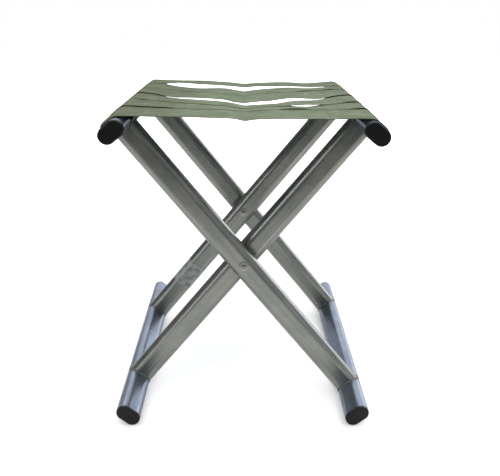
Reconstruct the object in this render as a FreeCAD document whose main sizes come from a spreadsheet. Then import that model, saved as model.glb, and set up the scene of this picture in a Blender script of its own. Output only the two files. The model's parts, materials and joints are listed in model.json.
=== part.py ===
import FreeCAD, Part
import math
import os

import Sketcher
from FreeCAD import Vector

# Folding camp stool: two welded frames of flat-oval steel tube cross like an X and turn on two rivets,
# and canvas straps run side by side between the two seat rails.
#
# Millimetres, +Z up. The origin is on the floor under the middle of the open stool. X is the folding
# direction, Y runs along the seat and foot rails, and -Y is the front.
#
# Every sub-part of a tube frame is modelled in its frame's own axes, which start at the pivot:
# z runs up the legs to the seat rail, x runs across the wide side of the tube, y is the stool's Y.
# The outer frame leans to -X at the top and the inner frame to +X.

FRONT, REAR = -1, 1
DOWN, UP = -1, 1
FRAMES = {"outer": -1, "inner": 1}
SIDES = {"front": FRONT, "rear": REAR}
ENDS = {"foot": DOWN, "seat": UP}
STRAP_COUNT = 6

SIZES = {
    "tube_width": 30,           # flat-oval tube, outside, across the wide side
    "tube_thick": 19,
    "tube_wall": 1.2,
    "leg_lean": 39,             # degrees between each leg and the vertical, stool open
    "pivot_to_rail": 214.5,     # pivot axis to the middle of either rail
    "leg_trim": 1,              # how far a leg's coped end stops short of the rail's middle
    "outer_leg_y": 113,         # middle of the stool to the middle of an outer leg
    "leg_gap": 1.5,             # space between an outer leg and its inner leg
    "seat_rail_length": 344,
    "foot_rail_length": 354,
    "rivet_radius": 4,
    "rivet_head_radius": 5.4,
    "rivet_head_height": 2,
    "rivet_head_round": 1.2,
    "rivet_dimple_radius": 3.4,
    "rivet_dimple_depth": 1.2,
    "running_clearance": 0.05,  # on the radius, between a rivet and the legs it passes through
    "washer_radius": 9,
    "side_play": 0.1,           # along Y, between the inner leg and the washer or rivet tail beside it
    "plug_flange": 3,
    "plug_flange_inset": 0.15,
    "plug_dome": 1.8,
    "plug_insert": 14,
    "plug_insert_play": 0.1,
    "plug_wall": 1.6,
    "weld_size": 3,
    "weld_bulge": 0.6,
    "label_length": 40,
    "label_thick": 0.2,
    "label_wrap": 7.5,          # how far back round the tube's edges the label reaches
    "label_along": -130,        # label middle, measured down the leg from the pivot
    "strap_width": 52,
    "strap_pitch": 55,
    "strap_thick": 2.2,
    "strap_clear": 0.4,         # between the canvas and the rail it wraps
    "notch_margin": 5,          # room left round a leg where a strap's loop passes it
}

# Expressions that several sub-parts share
PIVOT_HEIGHT = (
    "(Sizes.tube_thick / 2 + (Sizes.tube_width - Sizes.tube_thick) / 2 * sin(Sizes.leg_lean * 1deg)"
    " + Sizes.pivot_to_rail * cos(Sizes.leg_lean * 1deg))"
)
RAIL_X = "(Sizes.pivot_to_rail * sin(Sizes.leg_lean * 1deg))"
RAIL_HEIGHT = f"({PIVOT_HEIGHT} + Sizes.pivot_to_rail * cos(Sizes.leg_lean * 1deg))"
OVAL_RISE = "((Sizes.tube_width - Sizes.tube_thick) / 2 * sin(Sizes.leg_lean * 1deg))"
INNER_LEG_Y = "(Sizes.outer_leg_y - Sizes.tube_thick - Sizes.leg_gap)"
LEG_Y = {"outer": "Sizes.outer_leg_y", "inner": INNER_LEG_Y}
SHANK_LENGTH = "(2 * Sizes.tube_thick + Sizes.leg_gap + Sizes.side_play)"

doc = FreeCAD.newDocument("camp_stool")
sheet = doc.addObject("Spreadsheet::Sheet", "Sizes")
for row, (alias, number) in enumerate(SIZES.items(), start=1):
    sheet.set(f"A{row}", alias)
    sheet.set(f"B{row}", str(number))
    sheet.setAlias(f"B{row}", alias)
doc.recompute()

subparts = []


def keep(obj, label):
    """Names a finished sub-part, which is also its file's name."""
    obj.Label = label
    subparts.append(obj)
    return obj


def in_frame(obj, frame, x="0", y="0", z="0", turn="rotation(vector(0; 0; 1); 0)"):
    """Places an object by a point and a turn given in a frame's own axes."""
    lean = f"{FRAMES[frame]} * Sizes.leg_lean"
    obj.setExpression(
        "Placement",
        f"placement(vector(0; 0; {PIVOT_HEIGHT}); rotation(vector(0; 1; 0); {lean}))"
        f" * placement(vector({x}; {y}; {z}); {turn})",
    )


def new_body(name):
    return doc.addObject("PartDesign::Body", name)


def sketch_on(body, plane, name, x="0", y="0", turn="0"):
    """A sketch on one of the body's origin planes, moved and turned within that plane."""
    sketch = body.newObject("Sketcher::SketchObject", name)
    datum = [o for o in body.Origin.OriginFeatures if o.Role == plane][0]
    sketch.AttachmentSupport = [(datum, "")]
    sketch.MapMode = "FlatFace"
    sketch.setExpression(
        "AttachmentOffset", f"placement(vector({x}; {y}; 0); rotation(vector(0; 0; 1); {turn}))"
    )
    return sketch


def bind(sketch, constraint, expression):
    """Adds a dimension and binds it to the sheet."""
    index = sketch.addConstraint(constraint)
    sketch.setExpression(f"Constraints[{index}]", expression)


def add_oval(sketch, grow="0"):
    """The tube's flat-oval outline round the sketch's origin, grown outward by some distance."""
    radius_size = f"Sizes.tube_thick / 2 + ({grow})"
    radius = float(sketch.evalExpression(radius_size))
    straight = (SIZES["tube_width"] - SIZES["tube_thick"]) / 2
    first = sketch.GeometryCount
    top, right, bottom, left = range(first, first + 4)
    normal = Vector(0, 0, 1)
    quarter = math.pi / 2
    right_circle = Part.Circle(Vector(straight, 0, 0), normal, radius)
    left_circle = Part.Circle(Vector(-straight, 0, 0), normal, radius)
    sketch.addGeometry(Part.LineSegment(Vector(-straight, radius, 0), Vector(straight, radius, 0)))
    sketch.addGeometry(Part.ArcOfCircle(right_circle, -quarter, quarter))
    sketch.addGeometry(Part.LineSegment(Vector(straight, -radius, 0), Vector(-straight, -radius, 0)))
    sketch.addGeometry(Part.ArcOfCircle(left_circle, quarter, 3 * quarter))
    start, end, centre = 1, 2, 3
    for side, arc in ((top, right), (bottom, left)):
        sketch.addConstraint(Sketcher.Constraint("Tangent", side, end, arc, end))
    for side, arc in ((top, left), (bottom, right)):
        sketch.addConstraint(Sketcher.Constraint("Tangent", side, start, arc, start))
    sketch.addConstraint(Sketcher.Constraint("Horizontal", top))
    sketch.addConstraint(Sketcher.Constraint("Symmetric", left, centre, right, centre, -1, 1))
    bind(sketch, Sketcher.Constraint("Radius", right, radius), radius_size)
    spacing = Sketcher.Constraint("DistanceX", left, centre, right, centre, 2 * straight)
    bind(sketch, spacing, "Sizes.tube_width - Sizes.tube_thick")


def add_rectangle(sketch, width, height):
    """A rectangle centred on the sketch's origin."""
    half = 5
    corners = [Vector(-half, -half, 0), Vector(half, -half, 0), Vector(half, half, 0), Vector(-half, half, 0)]
    for i in range(4):
        sketch.addGeometry(Part.LineSegment(corners[i], corners[(i + 1) % 4]))
    for i in range(4):
        sketch.addConstraint(Sketcher.Constraint("Coincident", i, 2, (i + 1) % 4, 1))
    for i in (0, 2):
        sketch.addConstraint(Sketcher.Constraint("Horizontal", i))
        sketch.addConstraint(Sketcher.Constraint("Vertical", i + 1))
    sketch.addConstraint(Sketcher.Constraint("Symmetric", 0, 1, 2, 1, -1, 1))
    bind(sketch, Sketcher.Constraint("DistanceX", 0, 1, 0, 2, 2 * half), width)
    bind(sketch, Sketcher.Constraint("DistanceY", 1, 1, 1, 2, 2 * half), height)


def pad(body, sketch, length, name="Pad", midplane=True, reverse=False):
    feature = body.newObject("PartDesign::Pad", name)
    feature.Profile = sketch
    feature.Midplane = midplane
    feature.Reversed = reverse
    feature.setExpression("Length", length)
    return feature


def cut_through(body, sketch, name="Cut"):
    """A pocket through everything, both ways from its sketch. It must remove material."""
    doc.recompute()
    before = body.Shape.Volume
    feature = body.newObject("PartDesign::Pocket", name)
    feature.Profile = sketch
    feature.Type = "ThroughAll"
    feature.Midplane = True
    doc.recompute()
    if body.Shape.Volume >= before:
        raise RuntimeError(f"{body.Name}: {name} removed nothing")
    return feature


# ---- Tube frames -------------------------------------------------------------------------------

def make_rail(frame, end):
    """A seat or foot rail: straight flat-oval tube along Y, its wide side across the legs."""
    body = new_body(f"{frame}_{end}_rail")
    section = sketch_on(body, "XZ_Plane", f"{frame}_{end}_section")
    add_oval(section)
    add_oval(section, "-Sizes.tube_wall")
    pad(body, section, f"Sizes.{end}_rail_length")
    in_frame(body, frame, z=f"{ENDS[end]} * Sizes.pivot_to_rail")
    return keep(body, f"{frame}_{end}_rail")


def make_leg(frame, side):
    """A leg: flat-oval tube, coped at both ends to sit on the rails, drilled for the pivot rivet."""
    body = new_body(f"{frame}_leg_{side}")
    section = sketch_on(body, "XY_Plane", f"{frame}_{side}_leg_section")
    add_oval(section)
    add_oval(section, "-Sizes.tube_wall")
    pad(body, section, "2 * (Sizes.pivot_to_rail - Sizes.leg_trim)")
    for end, up in ENDS.items():
        rail_place = f"{up} * Sizes.pivot_to_rail"
        cope = sketch_on(body, "XZ_Plane", f"{frame}_{side}_{end}_cope_outline", y=rail_place)
        add_oval(cope)
        cut_through(body, cope, f"{frame}_{side}_{end}_cope")
    hole = sketch_on(body, "XZ_Plane", f"{frame}_{side}_hole_outline")
    shank = SIZES["rivet_radius"]
    hole.addGeometry(Part.Circle(Vector(0, 0, 0), Vector(0, 0, 1), shank))
    hole.addConstraint(Sketcher.Constraint("Coincident", 0, 3, -1, 1))
    bind(hole, Sketcher.Constraint("Radius", 0, shank), "Sizes.rivet_radius + Sizes.running_clearance")
    cut_through(body, hole, f"{frame}_{side}_rivet_hole")
    in_frame(body, frame, y=f"{SIDES[side]} * {LEG_Y[frame]}")
    return keep(body, f"{frame}_leg_{side}")


def make_plug(frame, end, side):
    """A pressed-in end plug: a domed oval flange outside the tube and a hollow oval insert inside it."""
    name = f"{frame}_{end}_plug_{side}"
    insert_size = "-Sizes.tube_wall - Sizes.plug_insert_play"
    body = new_body(name)
    flange = sketch_on(body, "XY_Plane", f"{name}_flange_outline")
    add_oval(flange, "-Sizes.plug_flange_inset")
    disc = pad(body, flange, "Sizes.plug_flange", f"{name}_flange", midplane=False)
    doc.recompute()
    thickness = SIZES["plug_flange"]
    rim = [
        f"Edge{i + 1}"
        for i, edge in enumerate(disc.Shape.Edges)
        if all(abs(v.Z - thickness) < 1e-6 for v in edge.Vertexes)
    ]
    dome = body.newObject("PartDesign::Fillet", f"{name}_dome")
    dome.Base = (disc, rim)
    dome.setExpression("Radius", "Sizes.plug_dome")
    insert = sketch_on(body, "XY_Plane", f"{name}_insert_outline")
    add_oval(insert, insert_size)
    add_oval(insert, f"{insert_size} - Sizes.plug_wall")
    pad(body, insert, "Sizes.plug_insert", f"{name}_insert", midplane=False, reverse=True)
    # the plug's own +z points out of the tube, and its wide side stays across the legs
    toward = SIDES[side]
    in_frame(
        body,
        frame,
        y=f"{toward} * Sizes.{end}_rail_length / 2",
        z=f"{ENDS[end]} * Sizes.pivot_to_rail",
        turn=f"rotation(vector(1; 0; 0); {-90 * toward})",
    )
    return keep(body, name)


def make_bead():
    """One weld bead: a triangular bar with a bulging face, for the corner between a leg and a rail."""
    body = new_body("bead_pattern")
    section = sketch_on(body, "YZ_Plane", "bead_section")
    side, bulge = SIZES["weld_size"], SIZES["weld_bulge"]
    corner, across, up = Vector(0, 0, 0), Vector(side, 0, 0), Vector(0, side, 0)
    middle = Vector(side / 2 + bulge, side / 2 + bulge, 0)
    section.addGeometry(Part.LineSegment(corner, across))
    section.addGeometry(Part.Arc(across, middle, up))
    section.addGeometry(Part.LineSegment(up, corner))
    section.addConstraint(Sketcher.Constraint("Coincident", 0, 1, -1, 1))
    section.addConstraint(Sketcher.Constraint("Coincident", 2, 2, -1, 1))
    section.addConstraint(Sketcher.Constraint("Coincident", 0, 2, 1, 1))
    section.addConstraint(Sketcher.Constraint("Coincident", 1, 2, 2, 1))
    section.addConstraint(Sketcher.Constraint("Horizontal", 0))
    section.addConstraint(Sketcher.Constraint("Vertical", 2))
    bind(section, Sketcher.Constraint("DistanceX", 0, 1, 0, 2, side), "Sizes.weld_size")
    bind(section, Sketcher.Constraint("DistanceY", 2, 2, 2, 1, side), "Sizes.weld_size")
    pad(body, section, "Sizes.tube_width - Sizes.tube_thick")
    return body


def make_welds(frame, bead):
    """The beads along the flats where each leg meets each rail, as one group of separate solids."""
    reach = SIZES["pivot_to_rail"] - SIZES["tube_thick"] / 2
    leg_y = SIZES["outer_leg_y"]
    if frame == "inner":
        leg_y = leg_y - SIZES["tube_thick"] - SIZES["leg_gap"]
    solids = []
    for side in SIDES.values():
        for end in ENDS.values():
            for face in SIDES.values():
                solid = bead.Shape.copy()
                # the pattern fills the +y, +z corner, so it is mirrored into the other corners
                if face == FRONT:
                    solid = solid.mirror(Vector(0, 0, 0), Vector(0, 1, 0))
                if end == UP:
                    solid = solid.mirror(Vector(0, 0, 0), Vector(0, 0, 1))
                solid.translate(Vector(0, side * leg_y + face * SIZES["tube_thick"] / 2, end * reach))
                solids.append(solid)
    welds = doc.addObject("Part::Feature", f"{frame}_frame_welds")
    welds.Shape = Part.makeCompound(solids)
    in_frame(welds, frame)
    return keep(welds, f"{frame}_frame_welds")


# ---- Pivots ------------------------------------------------------------------------------------

def cylinder(name, radius, height, z="0"):
    obj = doc.addObject("Part::Cylinder", name)
    obj.setExpression("Radius", radius)
    obj.setExpression("Height", height)
    obj.setExpression("Placement.Base.z", z)
    return obj


def make_rivet(side):
    """A pivot rivet along Y: its shank starts just inside the inner leg and +z points outward."""
    name = f"pivot_rivet_{side}"
    height = "Sizes.rivet_head_height"
    head_z = f"{SHANK_LENGTH} + {height}"
    shank = cylinder(f"{name}_shank", "Sizes.rivet_radius", SHANK_LENGTH)
    tail = cylinder(f"{name}_tail", "Sizes.rivet_head_radius", height, f"-{height}")
    blank = cylinder(f"{name}_head_blank", "Sizes.rivet_head_radius", height, SHANK_LENGTH)
    doc.recompute()
    head = doc.addObject("Part::Fillet", f"{name}_head")
    head.Base = blank
    rounding = SIZES["rivet_head_round"]
    top = max(range(3), key=lambda i: blank.Shape.Edges[i].CenterOfMass.z)
    head.Edges = [(top + 1, rounding, rounding)]
    solid = doc.addObject("Part::MultiFuse", f"{name}_solid")
    solid.Shapes = [shank, tail, head]
    dimple = doc.addObject("Part::Sphere", f"{name}_dimple")
    ball = "((Sizes.rivet_dimple_radius^2 + Sizes.rivet_dimple_depth^2) / (2 * Sizes.rivet_dimple_depth))"
    dimple.setExpression("Radius", ball)
    dimple.setExpression("Placement.Base.z", f"{head_z} - Sizes.rivet_dimple_depth + {ball}")
    rivet = doc.addObject("Part::Cut", name)
    rivet.Base = solid
    rivet.Tool = dimple
    place_on_pivot(rivet, side, f"({INNER_LEG_Y} - Sizes.tube_thick / 2 - Sizes.side_play)")
    return keep(rivet, name)


def make_washer(side):
    """The spacer washer in the gap between an outer leg and its inner leg, held against the outer leg."""
    name = f"pivot_washer_{side}"
    disc = cylinder(f"{name}_disc", "Sizes.washer_radius", "Sizes.leg_gap - Sizes.side_play")
    bore = cylinder(f"{name}_bore", "Sizes.rivet_radius + Sizes.running_clearance", "Sizes.leg_gap")
    washer = doc.addObject("Part::Cut", name)
    washer.Base = disc
    washer.Tool = bore
    start = "(Sizes.outer_leg_y - Sizes.tube_thick / 2 - Sizes.leg_gap + Sizes.side_play)"
    place_on_pivot(washer, side, start)
    return keep(washer, name)


def place_on_pivot(obj, side, distance):
    """Turns an object's +z outward along Y and puts its origin on the pivot axis."""
    toward = SIDES[side]
    place = f"vector(0; {toward} * {distance}; {PIVOT_HEIGHT})"
    turn = f"rotation(vector(1; 0; 0); {-90 * toward})"
    obj.setExpression("Placement", f"placement({place}; {turn})")


def make_label():
    """A blank adhesive label, wrapped over the front of the rear inner leg below the pivot."""
    body = new_body("blank_label")
    ring = sketch_on(body, "XY_Plane", "label_section")
    add_oval(ring, "Sizes.label_thick")
    add_oval(ring)
    pad(body, ring, "Sizes.label_length")
    back_edge = "(Sizes.label_wrap - Sizes.tube_thick / 2)"
    back = sketch_on(body, "XY_Plane", "label_back", y=f"{back_edge} + Sizes.tube_thick")
    add_rectangle(back, "2 * Sizes.tube_width", "2 * Sizes.tube_thick")
    cut_through(body, back, "label_open_back")
    in_frame(body, "inner", y=INNER_LEG_Y, z="Sizes.label_along")
    return keep(body, "blank_label")


# ---- Seat --------------------------------------------------------------------------------------

def make_keepouts():
    """Boxes round the legs' upper ends, where a strap's loop has to stop short of the leg."""
    boxes = []
    for frame in FRAMES:
        for side, toward in SIDES.items():
            box = doc.addObject("Part::Box", f"{frame}_{side}_keepout")
            box.setExpression("Length", "Sizes.tube_width + 2 * Sizes.notch_margin")
            box.setExpression("Width", "Sizes.tube_thick + 2 * Sizes.notch_margin")
            box.setExpression("Height", "Sizes.tube_width")
            in_frame(
                box,
                frame,
                x="-Sizes.tube_width / 2 - Sizes.notch_margin",
                y=f"{toward} * {LEG_Y[frame]} - Sizes.tube_thick / 2 - Sizes.notch_margin",
                z="Sizes.pivot_to_rail - Sizes.tube_width",
            )
            boxes.append(box)
    keepouts = doc.addObject("Part::MultiFuse", "leg_keepouts")
    keepouts.Shapes = boxes
    return keepouts


def make_strap(number, keepouts):
    """One canvas strap: a flat band between the seat rails with a loop sewn round each rail."""
    name = f"seat_strap_{number}"
    body = new_body(f"{name}_band")
    top = f"({RAIL_HEIGHT} + {OVAL_RISE} + Sizes.tube_thick / 2 + Sizes.strap_clear + Sizes.strap_thick)"
    band = sketch_on(body, "XZ_Plane", f"{name}_band_outline", y=f"{top} - Sizes.strap_thick / 2")
    add_rectangle(band, f"2 * {RAIL_X}", "Sizes.strap_thick")
    pad(body, band, "Sizes.strap_width")
    loops = {"outer": f"-{RAIL_X}", "inner": RAIL_X}
    for frame, x in loops.items():
        # the oval's wide side rises towards the middle of the seat on both rails
        turn = f"{-FRAMES[frame]} * Sizes.leg_lean"
        loop = sketch_on(body, "XZ_Plane", f"{name}_{frame}_loop", x=x, y=RAIL_HEIGHT, turn=turn)
        add_oval(loop, "Sizes.strap_clear + Sizes.strap_thick")
        pad(body, loop, "Sizes.strap_width", f"{name}_{frame}_wrap")
    for frame, x in loops.items():
        turn = f"{-FRAMES[frame]} * Sizes.leg_lean"
        hole = sketch_on(body, "XZ_Plane", f"{name}_{frame}_inside", x=x, y=RAIL_HEIGHT, turn=turn)
        add_oval(hole, "Sizes.strap_clear")
        cut_through(body, hole, f"{name}_{frame}_opening")
    from_middle = number - (STRAP_COUNT + 1) / 2
    body.setExpression("Placement.Base.y", f"{from_middle} * Sizes.strap_pitch")
    strap = doc.addObject("Part::Cut", name)
    strap.Base = body
    strap.Tool = keepouts
    return keep(strap, name)


# ---- Build, check and write --------------------------------------------------------------------

bead_pattern = make_bead()
doc.recompute()
for frame_name in FRAMES:
    for end_name in ENDS:
        make_rail(frame_name, end_name)
        for side_name in SIDES:
            make_plug(frame_name, end_name, side_name)
    for side_name in SIDES:
        make_leg(frame_name, side_name)
    make_welds(frame_name, bead_pattern)
for side_name in SIDES:
    make_rivet(side_name)
    make_washer(side_name)
make_label()
leg_keepouts = make_keepouts()
for strap_number in range(1, STRAP_COUNT + 1):
    make_strap(strap_number, leg_keepouts)
doc.recompute()

for obj in doc.Objects:
    if "Invalid" in obj.State or "Error" in obj.State:
        raise RuntimeError(f"{obj.Label}: {obj.State}")
for obj in subparts:
    if obj.Shape.isNull() or not obj.Shape.isValid() or not obj.Shape.Solids:
        raise RuntimeError(f"{obj.Label} has no valid solid")

os.makedirs("parts", exist_ok=True)
for obj in subparts:
    obj.Shape.exportStep(f"parts/{obj.Label}.step")
print(f"{len(subparts)} sub-parts written")
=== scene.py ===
"""The looks of the folding camp stool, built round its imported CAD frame.

Lengths are in metres, apart from the seat straps, their seams and the weld beads, which are worked
out in mm.
"""

import json
import math

import bpy
import numpy as np
from mathutils import Matrix, Vector, noise


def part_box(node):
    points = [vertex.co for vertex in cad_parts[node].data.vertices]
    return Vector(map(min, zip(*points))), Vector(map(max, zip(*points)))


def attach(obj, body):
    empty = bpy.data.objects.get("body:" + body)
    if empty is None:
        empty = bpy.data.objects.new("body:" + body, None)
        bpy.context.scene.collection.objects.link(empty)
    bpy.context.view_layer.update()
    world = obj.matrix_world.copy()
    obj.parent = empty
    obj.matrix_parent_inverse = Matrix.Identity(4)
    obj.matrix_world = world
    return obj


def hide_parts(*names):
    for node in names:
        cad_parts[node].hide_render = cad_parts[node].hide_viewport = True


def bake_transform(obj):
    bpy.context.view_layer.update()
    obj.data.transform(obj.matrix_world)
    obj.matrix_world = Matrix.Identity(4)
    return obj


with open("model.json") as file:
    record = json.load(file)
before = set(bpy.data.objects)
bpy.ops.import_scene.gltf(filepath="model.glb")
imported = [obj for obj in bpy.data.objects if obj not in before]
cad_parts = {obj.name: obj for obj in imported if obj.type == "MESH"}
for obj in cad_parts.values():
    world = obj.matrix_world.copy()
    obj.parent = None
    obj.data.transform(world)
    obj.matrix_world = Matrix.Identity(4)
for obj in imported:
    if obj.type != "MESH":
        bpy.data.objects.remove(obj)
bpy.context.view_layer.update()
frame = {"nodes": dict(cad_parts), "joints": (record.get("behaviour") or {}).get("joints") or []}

MM = 0.001
RED, GREEN, BLUE = range(3)
FRAMES = ("outer", "inner")
SIDES = ("front", "rear")


# ---- What the frame says ----------------------------------


def box_centre(node):
    """Middle of a CAD node's box."""
    low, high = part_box(node)
    return (low + high) / 2


fold_joint = frame["joints"][0]
PIVOT = Vector(fold_joint["pos_m"])
RAIL_X = box_centre("inner_seat_rail").x
RAIL_Z = box_centre("inner_seat_rail").z
LEAN = math.atan2(RAIL_X, RAIL_Z - PIVOT.z)
RAIL_REACH = math.hypot(RAIL_X, RAIL_Z - PIVOT.z)
RAIL_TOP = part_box("inner_seat_rail")[1].z
LEG_BAND = {
    (name, side): (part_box(f"{name}_leg_{side}")[0].y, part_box(f"{name}_leg_{side}")[1].y)
    for name in FRAMES
    for side in SIDES
}
TUBE_ROUND = (LEG_BAND["inner", "rear"][1] - LEG_BAND["inner", "rear"][0]) / 2
TUBE_FLAT = (RAIL_TOP - RAIL_Z - TUBE_ROUND) / math.sin(LEAN)


def lean_of(name):
    """How far a frame's legs are turned about Y from upright."""
    return -LEAN if name == "outer" else LEAN


# ---- Node graph helper ------------------------------------


class Graph:
    """A material's or world's node tree, with short calls for the nodes used here."""

    def __init__(self, owner):
        owner.use_nodes = True
        self.tree = owner.node_tree
        self.tree.nodes.clear()

    def node(self, kind, inputs=None, **settings):
        made = self.tree.nodes.new(kind)
        for key, value in settings.items():
            setattr(made, key, value)
        for key, value in (inputs or {}).items():
            self.put(made.inputs[key], value)
        return made

    def put(self, socket, value):
        if isinstance(value, bpy.types.NodeSocket):
            self.tree.links.new(value, socket)
        elif isinstance(value, bpy.types.Node):
            self.tree.links.new(value.outputs[0], socket)
        else:
            socket.default_value = value

    def math(self, operation, a, b=0.0, clamp=False):
        made = self.node("ShaderNodeMath", {0: a, 1: b}, operation=operation, use_clamp=clamp)
        return made.outputs[0]

    def vector(self, operation, a, b=(0, 0, 0)):
        made = self.node("ShaderNodeVectorMath", {0: a, 1: b}, operation=operation)
        return made.outputs["Value" if operation in ("DOT_PRODUCT", "LENGTH", "DISTANCE") else "Vector"]

    def span(self, value, start, end, low=0.0, high=1.0, smooth=True):
        """Maps value from start..end to low..high, clamped."""
        kind = "SMOOTHSTEP" if smooth else "LINEAR"
        inputs = {"Value": value, "From Min": start, "From Max": end, "To Min": low, "To Max": high}
        return self.node("ShaderNodeMapRange", inputs, interpolation_type=kind).outputs[0]

    def stripe(self, value, start, end, blur):
        """1 where value lies between start and end, fading to 0 over blur beyond them."""
        rise = self.span(value, start - blur, start)
        fall = self.span(value, end + blur, end)
        return self.math("MULTIPLY", rise, fall)

    def waves(self, value, pitch):
        """A sine that repeats each time value grows by pitch."""
        return self.math("SINE", self.math("MULTIPLY", value, 2 * math.pi / pitch))

    def noise(self, where, scale, detail=3.0, rough=0.5, stretch=(1, 1, 1)):
        """Noise between 0 and 1, stretched along an axis by a small number in stretch."""
        placed = self.vector("MULTIPLY", where, stretch)
        inputs = {"Vector": placed, "Scale": scale, "Detail": detail, "Roughness": rough}
        return self.node("ShaderNodeTexNoise", inputs).outputs[0]

    def mix(self, factor, a, b, blend="MIX"):
        """Mixes two colours."""
        made = self.node("ShaderNodeMix", data_type="RGBA", blend_type=blend)
        self.put(made.inputs[0], factor)
        self.put(made.inputs[6], a)
        self.put(made.inputs[7], b)
        return made.outputs[2]

    def bump(self, height, distance, strength=1.0, normal=None):
        made = self.node("ShaderNodeBump", {"Height": height, "Distance": distance, "Strength": strength})
        if normal is not None:
            self.put(made.inputs["Normal"], normal)
        return made.outputs[0]

    def here(self, kind="Object"):
        return self.node("ShaderNodeTexCoord").outputs[kind]

    def parts(self, vector):
        return self.node("ShaderNodeSeparateXYZ", {0: vector}).outputs

    def facing(self):
        """The x, y and z of the way the surface faces."""
        return self.parts(self.node("ShaderNodeNewGeometry").outputs["Normal"])

    def attribute(self, name):
        return self.node("ShaderNodeAttribute", attribute_name=name).outputs["Fac"]

    def surface(self, **inputs):
        """Ends the material in a Principled surface."""
        names = {key: key.replace("_", " ").title().replace("Ior", "IOR") for key in inputs}
        shader = self.node("ShaderNodeBsdfPrincipled")
        for key, value in inputs.items():
            self.put(shader.inputs[names[key]], value)
        self.node("ShaderNodeOutputMaterial", {"Surface": shader.outputs[0]})


def new_material(name):
    made = bpy.data.materials.new(name)
    return made, Graph(made)


def colour(red, green, blue):
    """A linear colour from the 0-255 values of a screen."""
    values = []
    for level in (red, green, blue):
        share = level / 255
        values.append(share / 12.92 if share <= 0.04045 else ((share + 0.055) / 1.055) ** 2.4)
    return (*values, 1.0)


# ---- Materials --------------------------------------------


def along_tube(graph, turn):
    """Object coordinates turned about Y at the pivot; with -lean_of(frame), +z runs up its legs."""
    inputs = {"Vector": graph.vector("SUBTRACT", graph.here(), tuple(PIVOT)), "Rotation": (0, turn, 0)}
    return graph.node("ShaderNodeMapping", inputs).outputs[0]


# Paint shades: deep, pale and dull. The rails' shades are bluer than the legs': a painted reflection of
# cool surroundings, on the same silver paint.
WARM_PAINT = ((134, 137, 131), (154, 155, 147), (116, 118, 114))
RAIL_TONES_PAINTED_REFLECTION = ((114, 126, 142), (138, 149, 164), (86, 95, 110))
# How drawing streaks stretch along a leg and along a rail.
LEG_STREAK = (1.0, 1.0, 0.03)
RAIL_STREAK = (1.0, 0.03, 1.0)
SCRATCH_STRETCH = 0.35
FLAKE_SHADE = colour(196, 196, 190)
SCRATCH_SHADE = colour(190, 188, 182)
CHIP_SHADE = colour(58, 54, 50)
# The front outer leg has two small chips in its paint: mm along the leg, across it, and their radius.
FRONT_LEG_CHIPS = ((-63.8, -6.6, 1.0), (-65.6, -1.6, 0.7))
CHIP_RAGGED = 0.6 * MM
CHIP_BLUR = 0.5


def chip_marks(g, where, chips):
    """1 on the chips, which have ragged edges, and 0 elsewhere."""
    chipped = 0.0
    for along, across, radius in chips:
        distance = g.vector("DISTANCE", where, (across * MM, -TUBE_ROUND, along * MM))
        ragged = g.math("ADD", distance, g.math("MULTIPLY", g.noise(where, 900, 2.0), CHIP_RAGGED))
        chip = g.span(ragged, (radius + CHIP_BLUR) * MM, radius * MM)
        chipped = g.math("MAXIMUM", chip, chipped)
    return chipped


def tube_paint(name, turn, stretch, tones, chips=()):
    """Silver hammered paint on drawn tube: fine flake, long streaks, dull patches and chips."""
    made, g = new_material(name)
    where = along_tube(g, turn)
    flake = g.noise(where, 5200, 1.0)
    grain = g.noise(where, 900, 4.0, 0.6)
    streak = g.noise(where, 420, 3.0, 0.55, stretch)
    patch = g.noise(where, 26, 4.0, 0.6)
    scratch_path = g.noise(where, 700, 1.0, 0.4, tuple(SCRATCH_STRETCH * s for s in stretch))
    scratch = g.span(scratch_path, 0.705, 0.73)
    chipped = chip_marks(g, where, chips)
    deep, pale, dull = tones
    shade = g.mix(g.span(patch, 0.3, 0.72), colour(*deep), colour(*pale))
    shade = g.mix(g.span(streak, 0.34, 0.7, 0.0, 0.45), shade, colour(*dull))
    shade = g.mix(g.span(flake, 0.5, 0.72, 0.0, 0.35), shade, FLAKE_SHADE)
    shade = g.mix(g.math("MULTIPLY", scratch, 0.45), shade, SCRATCH_SHADE)
    shade = g.mix(chipped, shade, CHIP_SHADE)
    rough = g.math("ADD", g.span(patch, 0.25, 0.75, 0.25, 0.33), g.math("MULTIPLY", streak, 0.05))
    relief = g.math("ADD", g.math("MULTIPLY", grain, 0.5), g.math("MULTIPLY", streak, 0.6))
    sunk = g.math("MULTIPLY", g.math("ADD", scratch, chipped), 0.5)
    g.surface(
        base_color=shade,
        metallic=0.93,
        roughness=rough,
        normal=g.bump(g.math("SUBTRACT", relief, sunk), 0.12 * MM, 0.35),
    )
    return made


def weld_metal():
    """The bead where leg meets rail: dull metal under thin paint, sooty in patches."""
    made, g = new_material("painted_weld")
    where = g.here()
    clean = g.span(g.noise(where, 340, 4.0, 0.65), 0.42, 0.66)
    shade = g.mix(clean, colour(104, 105, 103), colour(140, 139, 134))
    g.surface(
        base_color=shade,
        metallic=0.75,
        roughness=g.span(clean, 0.0, 1.0, 0.52, 0.4),
        normal=g.bump(g.noise(where, 1500, 3.0), 0.15 * MM, 0.5),
    )
    return made


def cap_plastic():
    """Black moulded plastic: fine spark texture, a little dust on top, and scuffs."""
    made, g = new_material("black_cap")
    where = g.here()
    grain = g.noise(where, 2600, 3.0, 0.6)
    scuff = g.span(g.noise(where, 210, 5.0, 0.7), 0.6, 0.74)
    dust = g.math("MULTIPLY", g.span(g.facing()[2], 0.2, 1.0), g.noise(where, 120, 3.0))
    shade = g.mix(g.math("MULTIPLY", scuff, 0.35), colour(8, 9, 11), colour(40, 40, 42))
    shade = g.mix(g.math("MULTIPLY", dust, 0.16), shade, colour(120, 116, 108))
    g.surface(
        base_color=shade,
        roughness=g.span(scuff, 0.0, 1.0, 0.44, 0.62),
        specular_ior_level=0.3,
        normal=g.bump(grain, 0.08 * MM, 0.5),
    )
    return made
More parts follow.
